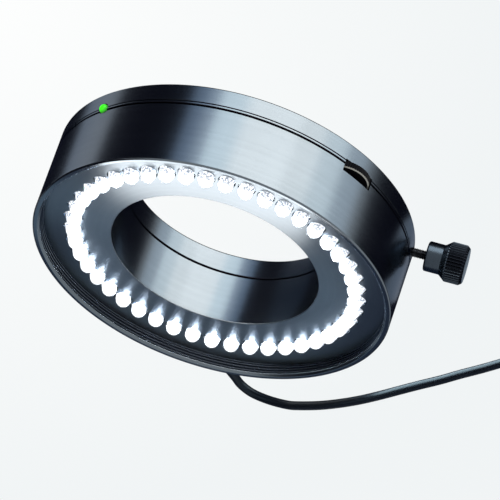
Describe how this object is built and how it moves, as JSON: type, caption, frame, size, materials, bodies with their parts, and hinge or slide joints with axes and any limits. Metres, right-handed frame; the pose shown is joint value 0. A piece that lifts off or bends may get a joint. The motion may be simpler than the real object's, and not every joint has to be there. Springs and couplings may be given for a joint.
{
  "type": "microscope ring light",
  "caption": "LED ring light that clamps round a stereo microscope objective, with dimmer wheel, status light, knurled clamp screw and power cord.",
  "frame": {"origin": "centre of the bounding box of ring and clamp knob, in the plane of the LED-side rim that the part stands on; the ring's own axis stands 8.5 mm from it along -X", "axes": "+Z from the LED-side rim towards the back cover, along the ring's axis; +X outwards along the clamp screw; the cord leaves towards +Y"},
  "size_m": [0.2082, 0.1427, 0.032],
  "materials": {
    "black_anodised_aluminium": "satin black anodised",
    "led_resin": "clear LED resin, lit white",
    "status_resin": "green LED resin, lit",
    "circuit_board": "green solder mask",
    "black_plastic": "moulded black",
    "wheel_plastic": "dark grey, knurled",
    "chip_black": "moulded chip package",
    "ferrite": "matt ferrite",
    "bare_aluminium": "drawn can",
    "terminal_plastic": "white nylon",
    "potentiometer": "blue moulded",
    "black_steel": "blackened",
    "zinc_steel": "zinc plated",
    "knob_aluminium": "black anodised, straight knurl",
    "nylon": "natural nylon",
    "cord_rubber": "satin black sheath",
    "wire_red": "insulation",
    "wire_black": "insulation",
    "nickel": "nickel plated"
  },
  "bodies": {
    "ring": {"housing": "black_anodised_aluminium", "back_cover": "black_anodised_aluminium", "led_bank_1": "led_resin", "led_bank_2": "led_resin", "led_bank_3": "led_resin", "led_bank_4": "led_resin", "led_bank_5": "led_resin", "led_board": "circuit_board", "driver_board": "circuit_board", "board_header": "black_plastic", "driver_chip": "chip_black", "power_inductor": "ferrite", "smoothing_capacitor": "bare_aluminium", "supply_terminal": "terminal_plastic", "dimmer_pot": "potentiometer", "status_led": "status_resin", "status_led_holder": "black_plastic", "cover_screw_1": "black_steel", "cover_screw_2": "black_steel", "cover_screw_3": "black_steel", "board_screw_1": "zinc_steel", "board_screw_2": "zinc_steel", "board_screw_3": "zinc_steel", "driver_screw_1": "zinc_steel", "driver_screw_2": "zinc_steel", "driver_screw_3": "zinc_steel", "strain_relief": "cord_rubber", "supply_wire_red": "wire_red", "supply_wire_black": "wire_black", "cord": "cord_rubber", "cord_coil": "cord_rubber", "plug_body": "black_plastic", "plug_barrel": "nickel", "plug_contact": "black_plastic"},
    "dimmer": {"dimmer_wheel": "wheel_plastic"},
    "clamp_carriage": {"clamp_tip": "nylon"},
    "clamp": {"clamp_screw": "zinc_steel", "clamp_knob": "knob_aluminium"}
  },
  "joints": [
    {"name": "dimmer_turn", "type": "hinge", "parent": "ring", "child": "dimmer", "pos_m": [0.02649, -0.03792, 0.02135], "axis": [0, 0, 1], "range_deg": [-135, 135]},
    {"name": "clamp_travel", "type": "slide", "parent": "ring", "child": "clamp_carriage", "axis": [1, 0, 0], "range_m": [-0.004, 0.008]},
    {"name": "clamp_turn", "type": "hinge", "parent": "clamp_carriage", "child": "clamp", "pos_m": [0.05, 0, 0.02565], "axis": [1, 0, 0], "range_deg": [-2880, 5760]}
  ],
  "couplings": [
    {"joint": "clamp_turn", "follows": "clamp_travel", "rad_per_m": 12566}
  ]
}
